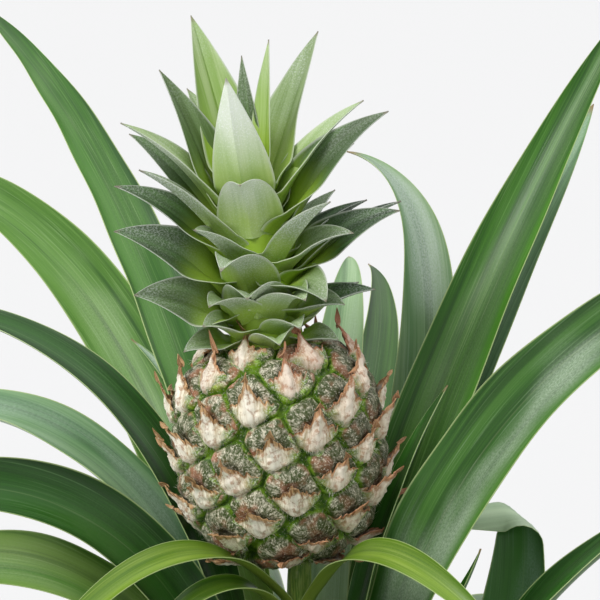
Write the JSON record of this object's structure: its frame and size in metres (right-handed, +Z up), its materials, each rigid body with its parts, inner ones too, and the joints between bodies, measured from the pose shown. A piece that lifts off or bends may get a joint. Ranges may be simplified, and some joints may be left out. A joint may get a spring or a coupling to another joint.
{
  "type": "potted pineapple plant",
  "caption": "Small ornamental pineapple plant in a round nursery pot: a leaf rosette, a fruit on a short stalk and its leafy crown.",
  "frame": {"origin": "centre of the pot's flat underside", "axes": "+Z up, -Y towards the front of the plant, +X to its right"},
  "size_m": [0.5026, 0.5643, 0.5086],
  "materials": {
    "pot": "dark moulded nursery-pot plastic, slightly satin",
    "soil": "moist peaty potting mix with bark crumbs",
    "stem": "smooth pale green stalk with fine ribs",
    "fruit": "unripe fruit: scurfy grey-white eyes, green grooves, papery brown bract tips",
    "crown": "stiff waxy leaves with silver scales",
    "leaf": "smooth satin strap leaf with fine lengthwise veins",
    "stalk_leaf": "thin yellow-green leaf with fine lengthwise veins"
  },
  "bodies": {
    "root": {"crown": "crown", "fruit": "fruit", "leaf_back": "leaf", "leaf_back_1": "leaf", "leaf_back_2": "leaf", "leaf_back_3": "leaf", "leaf_front_1": "leaf", "leaf_front_2": "leaf", "leaf_front_3": "leaf", "leaf_front_4": "leaf", "leaf_front_5": "leaf", "leaf_front_6": "leaf", "leaf_left_1": "leaf", "leaf_left_2": "leaf", "leaf_left_3": "leaf", "leaf_left_4": "leaf", "leaf_left_5": "leaf", "leaf_left_6": "leaf", "leaf_left_back": "leaf", "leaf_right_1": "leaf", "leaf_right_2": "leaf", "leaf_right_3": "leaf", "leaf_right_4": "leaf", "leaf_right_back": "leaf", "leaf_right_folded": "leaf", "leaf_right_hooked": "leaf", "leaf_right_slender": "leaf", "leaf_right_spike": "leaf", "leaf_skirt_1": "leaf", "leaf_skirt_2": "leaf", "leaf_skirt_3": "leaf", "leaf_skirt_4": "leaf", "leaf_skirt_5": "leaf", "leaf_skirt_6": "leaf", "leaf_skirt_7": "leaf", "leaf_skirt_8": "leaf", "pot": "pot", "soil": "soil", "stalk_leaf_left": "stalk_leaf", "stalk_leaf_low_left": "stalk_leaf", "stalk_leaf_right": "stalk_leaf", "stem_and_stalk": "stem"}
  },
  "joints": []
}
